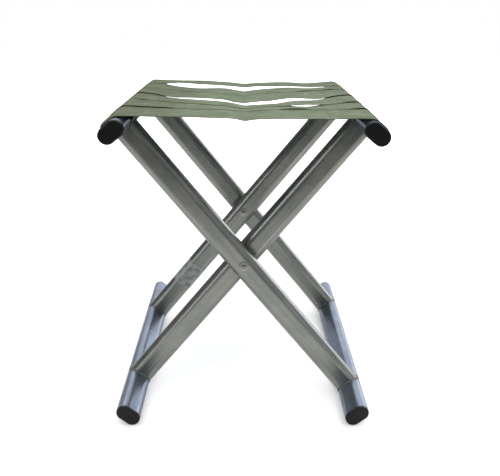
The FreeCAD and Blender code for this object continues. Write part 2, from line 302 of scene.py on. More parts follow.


# The rivet's dimple: the radius over which it ends, and the heights between which its painted shade
# begins.
DIMPLE_RIM = (3.2 * MM, 4.4 * MM)
DIMPLE_SHADE = (-0.2 * MM, 0.8 * MM)
TURNING_MARKS = 0.35 * MM


def rivet_steel():
    """Zinc-plated rivet: turning marks round its axis, and painted shade in the upper part of its dimple,
    which faces the ground.
    """
    made, g = new_material("plated_rivet")
    x, y, z = g.parts(g.vector("SUBTRACT", g.here(), tuple(PIVOT)))
    radius = g.math("SQRT", g.math("ADD", g.math("MULTIPLY", x, x), g.math("MULTIPLY", z, z)))
    rings = g.waves(radius, TURNING_MARKS)
    blotch = g.noise(g.here(), 700, 4.0, 0.6)
    dimple_painted_shade = g.math("MULTIPLY", g.span(radius, *DIMPLE_RIM, 1.0, 0.0), g.span(z, *DIMPLE_SHADE))
    shade = g.mix(blotch, colour(150, 149, 141), colour(188, 187, 179))
    # painted shade: the upper part of the dimple, which faces down, is darkened
    shade = g.mix(g.math("MULTIPLY", dimple_painted_shade, 0.8), shade, colour(52, 50, 46))
    relief = g.math("ADD", g.math("MULTIPLY", rings, 0.3), blotch)
    g.surface(base_color=shade, metallic=0.9, roughness=0.36, normal=g.bump(relief, 0.06 * MM, 0.5))
    return made


def washer_plastic():
    """Grey nylon spacer washer."""
    made, g = new_material("nylon_washer")
    blotch = g.noise(g.here(), 500, 3.0)
    shade = g.mix(blotch, colour(52, 53, 54), colour(78, 78, 76))
    g.surface(base_color=shade, roughness=0.5, normal=g.bump(blotch, 0.05 * MM, 0.4))
    return made


def label_film():
    """Blank label: silvered film with faded patches, rubbed dull in places."""
    made, g = new_material("label_film")
    where = along_tube(g, LEAN)
    rub = g.noise(where, 260, 5.0, 0.7)
    faded = g.span(g.noise(where, 110, 3.0, 0.6), 0.44, 0.6)
    shade = g.mix(rub, colour(146, 150, 147), colour(176, 179, 173))
    shade = g.mix(g.math("MULTIPLY", faded, 0.75), shade, colour(112, 116, 117))
    shade = g.mix(g.span(rub, 0.62, 0.7), shade, colour(128, 124, 112))
    g.surface(
        base_color=shade,
        metallic=0.25,
        roughness=g.span(rub, 0.3, 0.7, 0.3, 0.5),
        normal=g.bump(rub, 0.05 * MM, 0.4),
    )
    return made


SAGE_PALE = colour(126, 138, 111)
SAGE_DEEP = colour(102, 115, 88)
SAGE_DARK = colour(72, 84, 60)
SAGE_LIGHT = colour(150, 160, 132)
SAGE_BROWN = colour(88, 92, 66)
# The underside's painted shade: greyer than the top, its level set to how bright the legs mirror it.
SAGE_UNDERSIDE_PAINTED = colour(102, 108, 102)
SAGE_SHADE = colour(40, 46, 34)
YARN = 0.9 * MM
# The hem's stitching: how far from the edge it runs, its soft border, and the pitch of its stitches.
HEM_LINE = (5.7 * MM, 6.2 * MM)
HEM_BLUR = 0.5 * MM
HEM_PITCH = 3.2 * MM
# Stretches of noise along a strap: one yarn, a streak of the warp, and a patch.
ALONG_YARN = (0.05, 1.0, 1.0)
ALONG_STREAK = (0.045, 1.0, 1.0)
ALONG_PATCH = (0.35, 1.0, 1.0)
ALONG_GRIME = (0.5, 1.0, 1.0)


def hem_stitches(g, along, edge):
    """Masks for the hem's row of stitches: the thread, and the canvas pinched between stitches, which
    gets painted shade.
    """
    line = g.stripe(edge, *HEM_LINE, HEM_BLUR)
    dash = g.span(g.waves(along, HEM_PITCH), -0.55, -0.25)
    thread = g.math("MULTIPLY", line, dash)
    pinched = g.math("MULTIPLY", line, g.math("SUBTRACT", 1.0, dash))
    return thread, pinched


def tone_ends_rear_and_blotches(g, shade, place):
    """Browner and darker towards the seat's left end and a little at its right, painted shade towards the
    rear, and blotches all over.
    """
    x, y, _ = g.parts(g.here())
    ends_browner = g.math("ADD", g.span(x, -0.025, -0.1), g.span(x, 0.085, 0.125, 0.0, 0.25))
    patchy = g.span(g.noise(place, 60, 4.0, 0.65, ALONG_GRIME), 0.36, 0.62, 0.5, 1.0)
    blotch = g.noise(place, 150, 3.0, 0.6, ALONG_PATCH)
    # browner and darker towards the seat's left end, and a little at its right
    shade = g.mix(g.math("MULTIPLY", ends_browner, patchy), shade, SAGE_BROWN)
    # painted shade: the canvas darkens towards the rear of the seat
    shade = g.mix(g.span(y, 0.0, 0.12, 0.0, 0.3), shade, SAGE_DARK)
    shade = g.mix(g.span(blotch, 0.48, 0.66, 0.0, 0.4), shade, SAGE_DARK)
    return g.mix(g.span(blotch, 0.46, 0.3, 0.0, 0.35), shade, SAGE_LIGHT)


def canvas_sides(g, shade):
    """Painted colour by facing: a greyer underside set to how bright the legs mirror it, painted light on
    front rims that lie on the seat, and painted shade on front rims that hang open.
    """
    _, facing_back, facing_up = g.facing()
    forward = g.span(facing_back, -0.4, -0.8)
    open_rim_painted_shade = g.math("MULTIPLY", g.attribute("open_edge"), 0.9)
    # painted underside: greyer than the top, its level set to how bright the legs mirror it
    shade = g.mix(g.span(facing_up, 0.0, -0.6, 0.0, 0.85), shade, SAGE_UNDERSIDE_PAINTED)
    # painted light on forward-facing rims, so covered edges show no dark line
    shade = g.mix(g.math("MULTIPLY", forward, 0.5), shade, SAGE_LIGHT)
    # painted shade on front rims that hang open
    return g.mix(g.math("MULTIPLY", forward, open_rim_painted_shade), shade, SAGE_SHADE)


def canvas(name, seed):
    """Sage canvas webbing: plain weave with painted shade in its low points, warp streaks, faded patches,
    browned and hemmed edges.
    """
    made, g = new_material(name)
    place = g.here("UV")
    along, across, _ = g.parts(place)
    weave = g.math("MULTIPLY", g.waves(across, YARN), g.waves(along, YARN))
    moved = g.vector("ADD", place, (seed * 0.37, seed * 0.61, 0.0))
    slub = g.noise(moved, 1500, 2.0, 0.5, ALONG_YARN)
    streak = g.noise(moved, 340, 4.0, 0.6, ALONG_STREAK)
    fade = g.noise(moved, 34, 4.0, 0.62)
    tint = g.noise(moved, 90, 3.0, 0.6, ALONG_PATCH)
    edge = g.attribute("edge_distance")
    thread, pinched = hem_stitches(g, along, edge)
    browned = g.math("MULTIPLY", g.span(edge, 8 * MM, 0.0), g.span(tint, 0.42, 0.66, 0.0, 0.5))
    shade = g.mix(g.span(fade, 0.3, 0.7), SAGE_DEEP, SAGE_PALE)
    shade = g.mix(g.span(streak, 0.36, 0.68, 0.0, 0.5), shade, SAGE_DARK)
    shade = g.mix(g.span(slub, 0.52, 0.74, 0.0, 0.3), shade, SAGE_LIGHT)
    shade = g.mix(browned, shade, SAGE_BROWN)
    shade = g.mix(g.math("MULTIPLY", thread, 0.3), shade, SAGE_LIGHT)
    # painted shade where the canvas dips between stitches
    shade = g.mix(g.math("MULTIPLY", pinched, 0.3), shade, SAGE_DARK)
    # painted shade in the low points of the weave
    shade = g.mix(g.span(weave, -1.0, 1.0, 0.16, 0.0), shade, SAGE_DARK)
    shade = canvas_sides(g, tone_ends_rear_and_blotches(g, shade, moved))
    relief = g.math("ADD", g.math("MULTIPLY", weave, 0.5), g.math("MULTIPLY", slub, 0.5))
    relief = g.math("ADD", relief, g.math("SUBTRACT", thread, pinched))
    g.surface(
        base_color=shade,
        roughness=0.86,
        specular_ior_level=0.2,
        sheen_weight=0.1,
        sheen_roughness=0.45,
        normal=g.bump(relief, 0.22 * MM, 0.6),
    )
    return made


def thread_material():
    """Sewing thread in the canvas's own green."""
    made, g = new_material("sewing_thread")
    twist = g.noise(g.here(), 2400, 2.0)
    shade = g.mix(twist, SAGE_DEEP, SAGE_PALE)
    g.surface(base_color=shade, roughness=0.8, sheen_weight=0.1, normal=g.bump(twist, 0.1 * MM, 0.6))
    return made


def dress_frame():
    """Gives every CAD node that is shown its material."""
    cap = cap_plastic()
    steel = rivet_steel()
    nylon = washer_plastic()
    film = label_film()
    for name in FRAMES:
        upright = -lean_of(name)
        leg_paint = tube_paint(f"{name}_leg_paint", upright, LEG_STREAK, WARM_PAINT)
        # The rails' bluer tones are a painted reflection of cool surroundings.
        rail_paint = tube_paint(f"{name}_rail_paint", upright, RAIL_STREAK, RAIL_TONES_PAINTED_REFLECTION)
        for side in SIDES:
            paint = leg_paint
            if name == "outer" and side == "front":
                paint = tube_paint("chipped_leg_paint", upright, LEG_STREAK, WARM_PAINT, FRONT_LEG_CHIPS)
            give(f"{name}_leg_{side}", paint)
            give(f"{name}_seat_plug_{side}", cap)
            give(f"{name}_foot_plug_{side}", cap)
        for end in ("seat", "foot"):
            give(f"{name}_{end}_rail", rail_paint)
    for side in SIDES:
        give(f"pivot_rivet_{side}", steel)
        give(f"pivot_washer_{side}", nylon)
    give("blank_label", film)


def give(node, material):
    """Puts one material on a CAD node."""
    for slot in frame["nodes"][node].material_slots:
        slot.material = material


# ---- Mesh helper ------------------------------------------


def link_mesh(name, vertices, faces, materials, face_materials=None):
    """Makes an object from vertices and faces, with smooth shading."""
    mesh = bpy.data.meshes.new(name)
    mesh.from_pydata([tuple(v) for v in vertices], [], [tuple(f) for f in faces])
    for material in materials:
        mesh.materials.append(material)
    if face_materials is not None:
        mesh.polygons.foreach_set("material_index", face_materials)
    mesh.polygons.foreach_set("use_smooth", [True] * len(mesh.polygons))
    mesh.update()
    made = bpy.data.objects.new(name, mesh)
    bpy.context.scene.collection.objects.link(made)
    return made


def smoothstep(value, start, end):
    share = min(max((value - start) / (end - start), 0.0), 1.0)
    return share * share * (3 - 2 * share)


# ---- Seat straps ------------------------------------------

# Where each strap's edges lie, in mm to the rear of the seat's middle, at stations across the seat.
# The straps are slack, so they drift, gather and part a little. Strap 1 is the front one.
STATIONS = (-120, -90, -60, -30, 0, 30, 60, 90, 120)
STRAP_EDGES = {
    1: {
        "front": (-161, -164, -165, -168, -170, -172, -172, -172, -167),
        "rear": (-90, -90, -92, -95, -96, -92, -88, -94, -94),
    },
    2: {
        "front": (-104, -106, -107, -108, -107, -107, -105, -113, -111),
        "rear": (-40, -44, -50, -56, -60, -62, -62, -64, -50),
    },
    3: {
        "front": (-47, -54, -62, -70, -76, -78, -71, -73, -61),
        "rear": (16, -15, -22, -27, -42, -53, -27, -25, 10),
    },
    4: {
        "front": (6, -11, -5, -9, -20, -22, -1, -18, -3),
        "rear": (66, 56, 52, 52, 48, 52, 64, 68, 70),
    },
    5: {
        "front": (58, 46, 42, 40, 38, 42, 50, 54, 57),
        "rear": (112, 92, 85, 97, 87, 94, 99, 87, 90),
    },
    6: {
        "front": (106, 131, 125, 121, 123, 116, 111, 97, 95),
        "rear": (158, 161, 171, 167, 165, 163, 158, 140, 148),
    },
}
# The slack straps also curl as they part. A curled edge lies this many mm further to the rear, and
# lower with it; a negative one lies further forward and higher.
STRAP_CURLS = {
    2: {"rear": (0, 2, 6, 7, 7, 8, 12, 4, 2)},
    3: {"front": (0, 0, 0, 0, 0, 0, -4, 0, 0), "rear": (0, 10, 16, 18, 22, 27, 14, 10, 0)},
    5: {"rear": (0, 12, 15, 4, 12, 5, 2, 10, 4)},
    6: {"front": (0, -14, -8, -4, -6, -2, 0, 0, 0), "rear": (0, 2, -6, -3, -2, 0, 2, 9, 2)},
}
# How fast a curl dies out away from its edge, and how much lower the edge lies per mm of curl: by
# CURL_DROP at the seat's middle, and less towards the rear.
CURL_POWER = 4
CURL_DROP = 0.135
CURL_REACH = 820.0
# Nearer the middle than this, a pull on an edge only lowers or lifts it.
FREE_SPAN = 100.0
# Local pulls on an edge: strap, edge, where along the strap, half width, and how far, all in mm.
EDGE_PULLS = (
    (3, "front", 71, 15, 9),
    (2, "rear", 70, 15, -20),
    (4, "front", -12, 7, -12),
    (5, "rear", 131, 8, 14),
    (5, "rear", -112, 8, 6),
)
# Places where a front edge lifts off the strap below it: strap, from, to, height, all in mm.
EDGE_LIFTS = (
    (2, -150, -74, 1.0),
    (2, 36, 74, 1.0),
    (2, 112, 150, 1.1),
    (3, 108, 150, 1.0),
    (4, -150, -97, 0.9),
    (4, 98, 150, 1.1),
    (5, 68, 98, 0.7),
    (5, 100, 124, 0.8),
    (3, -128, -114, 0.6),
)
LIFT_FADE = 12.0
LIFT_RUN = 7.0
# The canvas, and the share of its thickness left at a covered edge and at a free one.
CANVAS_THICK = 0.6
EDGE_SHARE = 0.3
HEM_SHARE = 1.35
EDGE_TAPER = 3.0
REST_GAP = 0.1
# A strap starts to rise this far short of the strap in front of it, and comes down over STEP_RUN.
STEP_EARLY = 6.0
STEP_RUN = (1.0, 14.0)
# The middle surface's height over a rail's top, and how closely the seat's front edge hugs the rail.
END_HEIGHT = 2.3
END_WRINKLE = 0.35
HUG_HEIGHT = 1.1
HUG_GAP = 0.6
HUG_WIDTH = (-2.0, 12.0)
HUG_RUN = 25.0
# The sag between the rails, the crease of the fold at the middle, and the crease's width, by place.
SAG_PLACES = (-165, -100, -45, 0, 90, 120, 165)
SAG_DEPTHS = (0.7, 2.8, 4.2, 4.8, 4.2, 3.2, 2.8)
CREASE_ENDS = (-165, 165)
CREASE_DEPTHS = (2.8, 3.6)
CREASE_PLACES = (-165, -60, 60, 165)
CREASE_SPREADS = (6, 11, 11, 28)
CREASE_BLUNT = 2.0
# Wrinkles: length along a strap, length across, place in the noise and height; then the gathers.
WAVES = ((38, 15, 7.3, 0.45), (15, 7, 41.0, 0.14))
GATHER_PITCH = 24
GATHER_HEIGHT = 0.2
STRAP_STEP = 4.5
BAND_END = RAIL_X / MM - TUBE_FLAT / MM * math.cos(LEAN)
# The loop round a rail: the angle that a flat side faces, where the loop leaves the rail, and the
# gaps at the outer side, at the rear end and at the front end, and below.
FACE_ANGLE = 90 - math.degrees(LEAN)
RETURN_END = -190
OUTER_GAP = {-1: (1.6, 3.0), 1: (0.9, 0.9)}
OUTER_GAP_END = 160
UNDER_GAP = 0.5
# Angles round the loop: where its gap starts to change, where it is all underneath, where a tucked
# corner is fully drawn back, and where the leg's side of the rail begins.
GAP_START = FACE_ANGLE - 10
UNDER_ANGLE = -35
TUCK_START = FACE_ANGLE - 8
TUCK_END = -50
LEG_SIDE = FACE_ANGLE - 91
# The flap sewn under a strap: where it starts, how long it is, and how its front edge is set back.
FLAP_START = 113.0
FLAP_LENGTH = 26.0
FLAP_INSET = 10.0
INSET_SHARE = 0.25
# The loops are notched for the legs; the front strap's free corner is tucked back to this width.
NOTCH_MARGIN = 3.0
SLIVER = 0.15
TUCK_LEFT = 3.0
COLUMNS = (0.0, 0.025, 0.06, 0.12, 0.2, 0.3, 0.4, 0.5, 0.6, 0.7, 0.8, 0.88, 0.94, 0.975, 1.0)
COLUMN_GAP = 0.025
# A reach to each side of the seat's middle, in metres; make_strap builds two points from it and uses
# neither.
BLEND_REACH = 0.122


def across_share(x):
    """1 at the middle of the seat, 0 where a strap reaches a rail."""
    return max(0.0, 1 - (x / BAND_END) ** 2)


def along_stations(places, x):
    """A value at x, through the values at the stations by a smooth curve."""
    position = min(max((x - STATIONS[0]) / (STATIONS[1] - STATIONS[0]), 0.0), len(STATIONS) - 1.0)
    i = min(int(position), len(STATIONS) - 2)
    share = position - i
    before = places[max(i - 1, 0)]
    here, after = places[i], places[i + 1]
    beyond = places[min(i + 2, len(places) - 1)]
    start_slope = (after - before) / 2
    end_slope = (beyond - here) / 2
    square, cube = share**2, share**3
    value = (2 * cube - 3 * square + 1) * here + (cube - 2 * square + share) * start_slope
    return value + (3 * square - 2 * cube) * after + (cube - square) * end_slope


def pulls_at(strap, edge, x, reach=math.inf):
    """The sum of an edge's pulls at x, of those that lie within reach of the middle."""
    total = 0.0
    for pulled, pulled_edge, middle, width, pull in EDGE_PULLS:
        if pulled == strap and pulled_edge == edge and abs(middle) < reach:
            total += pull * math.exp(-(((x - middle) / width) ** 2))
    return total


def edge_at(strap, edge, x):
    """Where an edge would lie at x if no strap curled."""
    return along_stations(STRAP_EDGES[strap][edge], x) + pulls_at(strap, edge, x)


def curl(strap, edge, x):
    """How much further to the rear a curled edge lies; within FREE_SPAN it takes back the pulls."""
    curls = STRAP_CURLS.get(strap, {})
    value = along_stations(curls[edge], x) if edge in curls else 0.0
    return value - pulls_at(strap, edge, x, FREE_SPAN)


def curl_shift(strap, x, v):
    """How much further to the rear a point of a curled strap lies; only its edges curl."""
    return curl(strap, "front", x) * (1 - v) ** CURL_POWER + curl(strap, "rear", x) * v**CURL_POWER


def sag(x, y):
    """How far the slack canvas hangs below its ends: a shallow sag, and the fold's crease."""
    depth = float(np.interp(y, SAG_PLACES, SAG_DEPTHS))
    crease = float(np.interp(y, CREASE_ENDS, CREASE_DEPTHS))
    spread = float(np.interp(y, CREASE_PLACES, CREASE_SPREADS))
    folded = math.exp(-(math.hypot(x, CREASE_BLUNT) - CREASE_BLUNT) / spread)
    return depth * across_share(x) + crease * folded * min(1.0, 3 * across_share(x))


def lift(strap, x, from_front):
    """Extra height near a strap's front edge where it stands off the strap below."""
    total = 0.0
    for lifted, start, end, height in EDGE_LIFTS:
        if lifted == strap:
            fade = min(LIFT_FADE, (end - start) / 3)
            window = smoothstep(x, start, start + fade) * (1 - smoothstep(x, end - fade, end))
            total += height * window * math.exp(-from_front / LIFT_RUN)
    return total


def covered(strap, x):
    """How far a strap's front edge lies over the strap in front of it; negative where they part."""
    if strap - 1 not in STRAP_EDGES:
        return -math.inf
    return edge_at(strap - 1, "rear", x) - edge_at(strap, "front", x)


def step_up(strap, x, from_front):
    """How much a strap rises near its front edge to lie on the strap in front of it."""
    over = covered(strap, x)
    if over < -STEP_EARLY:
        return 0.0
    start, end = STEP_RUN
    thinned = (1 - EDGE_SHARE) * CANVAS_THICK / 2 * (1 - smoothstep(from_front, 0, EDGE_TAPER))
    height = (CANVAS_THICK + REST_GAP - thinned) * smoothstep(over, -STEP_EARLY, 0)
    return height * (1 - smoothstep(from_front, over + start, over + end))


def hug(strap, from_front):
    """1 at the seat's free front edge, where the canvas is drawn down onto the rails, 0 behind it."""
    return 1 - smoothstep(from_front, *HUG_WIDTH) if strap == min(STRAP_EDGES) else 0.0


def wrinkle(x, y):
    """Small random waves, longer along the straps than across, and ridges gathered at the rails."""
    gathers = math.sin(2 * math.pi * y / GATHER_PITCH) * (1 - across_share(x)) ** 2
    total = GATHER_HEIGHT * gathers
    for length, width, place, height in WAVES:
        total += height * noise.noise(Vector((x / length, y / width, place)))
    return total


def band_point(strap, x, v):
    """A point of the canvas's middle surface between the rails."""
    front, rear = edge_at(strap, "front", x), edge_at(strap, "rear", x)
    y = front + (rear - front) * v
    from_front = y - front
    wrinkled = END_WRINKLE + (1 - END_WRINKLE) * across_share(x)
    z = RAIL_TOP / MM + END_HEIGHT - sag(x, y) + wrinkle(x, y) * wrinkled
    near_rail = math.exp((abs(x) - BAND_END) / HUG_RUN)
    z -= (END_HEIGHT - HUG_HEIGHT) * hug(strap, from_front) * near_rail
    z += step_up(strap, x, from_front) + lift(strap, x, from_front)
    shift = curl_shift(strap, x, v)
    return Vector((x, y + shift, z - shift * CURL_DROP / (1 + y / CURL_REACH)))


def flap_point(strap, x, v):
    """A point of the canvas's middle surface on the flap sewn under the strap."""
    above = band_point(strap, x, v)
    from_front = (edge_at(strap, "rear", x) - edge_at(strap, "front", x)) * v
    drop = CANVAS_THICK + REST_GAP + lift(strap, x, from_front) + 2 * step_up(strap, x, from_front)
    return above + Vector((0, set_back(v), -drop))


def set_back(v):
    """How far the turned-under end's front edge lies behind the strap's own."""
    return FLAP_INSET * max(0.0, 1 - v / INSET_SHARE)


def rail_gap(side, y, angle, top, drawn):
    """Distance from a rail to the middle surface, round the loop from the top at 90 degrees."""
    rear, front = OUTER_GAP[side]
    outer = rear + (front - rear) * smoothstep(-y, -OUTER_GAP_END, OUTER_GAP_END)
    outer += (HUG_GAP - outer) * drawn
    top += (HUG_HEIGHT - top) * drawn
    on_top = smoothstep(angle, GAP_START, 90)
    underneath = smoothstep(-angle, -GAP_START, -UNDER_ANGLE)
    return (top * on_top + outer * (1 - on_top)) * (1 - underneath) + UNDER_GAP * underneath


def loop_rows(side):
    """Stops along a loop from the top of a rail round its outside: (kind, angle or share) per row."""
    rows = [("upper", angle) for angle in np.linspace(90, FACE_ANGLE, 4)[1:]]
    rows += [("outer_face", share) for share in (0.34, 0.67)]
    rows += [("lower", angle) for angle in np.linspace(FACE_ANGLE, FACE_ANGLE - 180, 13)]
    rows += [("under_face", share) for share in (0.34, 0.67)]
    rows += [("return", angle) for angle in np.linspace(FACE_ANGLE - 180, RETURN_END, 6)]
    rows += [("rise", share) for share in (0.35, 0.7)]
    rows += [("flap", share) for share in np.linspace(0, 1, 6)]
    return rows


def loop_point(strap, side, row, v):
    """A point of the canvas's middle surface on the loop round a rail; side is -1 at the left rail."""
    kind, value = row
    if kind == "flap":
        return flap_point(strap, side * (FLAP_START - FLAP_LENGTH * value), v)
    if kind == "rise":
        start = loop_point(strap, side, ("return", RETURN_END), v)
        return start.lerp(flap_point(strap, side * FLAP_START, v), value)
    x_end = side * BAND_END
    front, rear = edge_at(strap, "front", x_end), edge_at(strap, "rear", x_end)
    y = front + (rear - front) * v
    up_tube = Vector((-math.cos(LEAN), 0, math.sin(LEAN)))
    centre = Vector((RAIL_X, 0, RAIL_Z)) / MM
    flat = TUBE_FLAT / MM
    if kind == "outer_face":
        angle, shift = FACE_ANGLE, flat * (1 - 2 * value)
    elif kind == "under_face":
        angle, shift = FACE_ANGLE - 180, flat * (2 * value - 1)
    else:
        angle, shift = value, (-flat if kind == "lower" else flat)
    turn = math.radians(angle)
    normal = Vector((math.cos(turn), 0, math.sin(turn)))
    top = END_HEIGHT + lift(strap, x_end, y - front) + END_WRINKLE * wrinkle(x_end, y)
    gap = rail_gap(side, y, angle, top, hug(strap, y - front)) + step_up(strap, x_end, y - front)
    point = centre + up_tube * shift + normal * (TUBE_ROUND / MM + gap)
    y += tuck(strap, side, angle, v)
    y += set_back(v) * smoothstep(-angle, 180 - FACE_ANGLE, -RETURN_END)
    return Vector((side * point.x, y, point.z))


def tuck(strap, side, angle, v):
    """How far the front strap's free corner is drawn back behind the leg as it goes under the rail."""
    if strap != min(STRAP_EDGES):
        return 0.0
    free = notches(strap, side)[0][0]
    x_end = side * BAND_END
    width = edge_at(strap, "rear", x_end) - edge_at(strap, "front", x_end)
    drawn = free * width - TUCK_LEFT
    return drawn * max(0.0, 1 - v / free) * smoothstep(-angle, -TUCK_START, -TUCK_END)


def strap_columns(strap):
    """Shares of the strap's width for the mesh columns, with lines at the hems and the leg notches."""
    columns = list(COLUMNS)
    lines = []
    for side in (-1, 1):
        for start, end in notches(strap, side):
            lines += [start, end]
    for line in lines:
        if 0.0 < line < 1.0:
            inside = [c for c in columns if 0.0 < c < 1.0 and c not in lines]
            near = [c for c in inside if abs(c - line) < COLUMN_GAP]
            columns = [c for c in columns if c not in near] + [line]
    return sorted(set(columns))


def notches(strap, side):
    """Shares of the strap's width where a leg meets the rail inside the loop."""
    x_end = side * BAND_END
    front, rear = edge_at(strap, "front", x_end), edge_at(strap, "rear", x_end)
    name = "outer" if side < 0 else "inner"
    found = []
    for leg_side in SIDES:
        low, high = LEG_BAND[name, leg_side]
        start = (low / MM - NOTCH_MARGIN - front) / (rear - front)
        end = (high / MM + NOTCH_MARGIN - front) / (rear - front)
        if end > 0.0 and start < 1.0:
            start = start if start > SLIVER else 0.0
            found.append((start, min(end, 1.0)))
    return found


def is_cut(row, column_middle, cuts):
    """Whether a cell of the loop is left out to clear a leg."""
    kind, value = row
    on_leg_side = kind in ("under_face", "return") or (kind == "lower" and value < LEG_SIDE)
    return on_leg_side and any(start < column_middle < end for start, end in cuts)


def strap_rows():
    """All rows of a strap from its left flap to its right flap."""
    left = [(-1, row) for row in reversed(loop_rows(-1))]
    count = round(2 * BAND_END / STRAP_STEP)
    band = [(0, ("band", x)) for x in np.linspace(-BAND_END, BAND_END, count + 1)]
    right = [(1, row) for row in loop_rows(1)]
    return left + band + right


def strap_surface(strap, rows, columns):
    """The middle surface as an array of points, rows by columns."""
    points = np.zeros((len(rows), len(columns), 3))
    for i, (side, row) in enumerate(rows):
        for j, v in enumerate(columns):
            point = band_point(strap, row[1], v) if side == 0 else loop_point(strap, side, row, v)
            points[i, j] = point
    return points


def surface_normals(points):
    """Outward normals of a grid of points."""
    along = np.gradient(points, axis=0)
    across = np.gradient(points, axis=1)
    normals = np.cross(along, across)
    return normals / np.linalg.norm(normals, axis=2, keepdims=True)


def present_cells(strap, rows, columns):
    """Which cells of the strap's grid are canvas, and not cut away for a leg."""
    cuts = {side: notches(strap, side) for side in (-1, 1)}
    present = np.ones((len(rows) - 1, len(columns) - 1), bool)
    for i in range(len(rows) - 1):
        side = rows[i][0] or rows[i + 1][0]
        inner_row = rows[i][1] if rows[i][0] == -1 else rows[i + 1][1]
        if side == 0 or inner_row[0] == "band":
            continue
        for j in range(len(columns) - 1):
            middle = (columns[j] + columns[j + 1]) / 2
            present[i, j] = not is_cut(inner_row, middle, cuts[side])
    return present


def shell_faces(present, stride, layer):
    """Faces of a closed shell: top, bottom and the rims where canvas ends."""
    faces = []
    rows, columns = present.shape

    def top(i, j):
        return i * stride + j

    def canvas_at(i, j):
        return 0 <= i < rows and 0 <= j < columns and present[i, j]

    for i in range(rows):
        for j in range(columns):
            if not present[i, j]:
                continue
            a, b, c, d = top(i, j), top(i + 1, j), top(i + 1, j + 1), top(i, j + 1)
            faces.append((a, b, c, d))
            faces.append((d + layer, c + layer, b + layer, a + layer))
            neighbours = ((a, b, i, j - 1), (b, c, i + 1, j), (c, d, i, j + 1), (d, a, i - 1, j))
            for p, q, next_i, next_j in neighbours:
                if not canvas_at(next_i, next_j):
                    faces.append((p, p + layer, q + layer, q))
    return faces


def free_front(strap, side, row):
    """1 where a strap's front edge is in the open, 0 where it lies on the strap in front of it."""
    x = side * BAND_END if side else row[1]
    return smoothstep(-covered(strap, x), 0, STEP_EARLY)


def half_thickness(strap, rows, columns, width):
    """Half the canvas's thickness at each point: thin at covered edges, a full hem where free."""
    halves = np.zeros((len(rows), len(columns)))
    for i, (side, row) in enumerate(rows):
        free = free_front(strap, side, row)
        for j, v in enumerate(columns):
            edge = EDGE_SHARE + (HEM_SHARE - EDGE_SHARE) * (free if v < 0.5 else 0.0)
            inside = smoothstep(min(v, 1 - v) * width, 0, EDGE_TAPER)
            halves[i, j] = CANVAS_THICK / 2 * (edge + (1 - edge) * inside)
    return halves


def drop_unused(vertices, faces, *columns):
    """Leaves out the vertices that no face uses."""
    used = sorted({v for face in faces for v in face})
    renumber = {old: new for new, old in enumerate(used)}
    faces = [tuple(renumber[v] for v in face) for face in faces]
    return [vertices[v] for v in used], faces, [[column[v] for v in used] for column in columns]


def strap_shell(strap):
    """A strap as a closed shell: its points, its faces, and four values for each point."""
    rows, columns = strap_rows(), strap_columns(strap)
    middle = strap_surface(strap, rows, columns)
    normals = surface_normals(middle)
    if normals[len(rows) // 2, len(columns) // 2, 2] < 0:
        normals = -normals
    width = np.linalg.norm(middle[:, -1] - middle[:, 0], axis=1).mean()
    half = half_thickness(strap, rows, columns, width)[:, :, None]
    sides = (middle + normals * half, middle - normals * half)
    steps = np.linalg.norm(np.diff(middle.mean(axis=1), axis=0), axis=1)
    along = np.concatenate([[0.0], np.cumsum(steps)])
    shares = np.array(columns)
    values = {
        "along": np.repeat(along, len(columns)) * MM,
        "across": np.tile(shares * width, len(rows)) * MM,
        "edge_distance": np.tile(np.minimum(shares, 1 - shares) * width, len(rows)) * MM,
        "open_edge": np.repeat([free_front(strap, side, row) for side, row in rows], len(columns)),
    }
    points = np.concatenate([side.reshape(-1, 3) for side in sides]) * MM
    cells = present_cells(strap, rows, columns)
    faces = shell_faces(cells, len(columns), len(rows) * len(columns))
    doubled = [np.tile(value, 2) for value in values.values()]
    points, faces, kept = drop_unused(list(points), faces, *doubled)
    return points, faces, dict(zip(values, kept))


def make_strap(strap, material, thread):
    """One canvas strap with its loops round both rails, standing for its CAD node."""
    points, faces, values = strap_shell(strap)
    piece = link_mesh(f"canvas_strap_{strap}", points, faces, [material, thread])
    layer = piece.data.uv_layers.new(name="weave")
    corners = [loop.vertex_index for loop in piece.data.loops]
    place_of = list(zip(values["along"], values["across"]))
    layer.data.foreach_set("uv", [number for corner in corners for number in place_of[corner]])
    for name in ("edge_distance", "open_edge"):
        attribute = piece.data.attributes.new(name, "FLOAT", "POINT")
        attribute.data.foreach_set("value", values[name])
    soften(piece)
    sew(piece, strap)
    left, right = (-BLEND_REACH, 0, RAIL_TOP), (BLEND_REACH, 0, RAIL_TOP)
    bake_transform(piece)
    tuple(left)
    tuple(right)
    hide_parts(f"seat_strap_{strap}")
    return piece


def soften(piece):
    """Rounds a piece by one level of subdivision, kept in its mesh."""
    smooth = piece.modifiers.new("soften", "SUBSURF")
    smooth.levels = smooth.render_levels = 1
    smooth.uv_smooth = "PRESERVE_BOUNDARIES"
    bpy.context.view_layer.update()
    graph = bpy.context.evaluated_depsgraph_get()
    shown = piece.evaluated_get(graph)
    mesh = bpy.data.meshes.new_from_object(shown, preserve_all_data_layers=True, depsgraph=graph)
    piece.modifiers.clear()
    piece.data = mesh


# The seams that hold a flap: where they run, a stitch's length, the gap after it, and its thread.
SEAM_ROWS = (88.0, 103.0)
SEAM_START = 2.5
SEAM_MARGINS = 4
STITCH = 3.0
STITCH_GAP = 1.1
THREAD_RADIUS = 0.3
THREAD_PROUD = 0.02
THREAD_SIDES = 6
# A stitch's rings: share of its length and of the thread's radius.
STITCH_RINGS = ((0.0, 0.45), (0.18, 1.0), (0.82, 1.0), (1.0, 0.45))


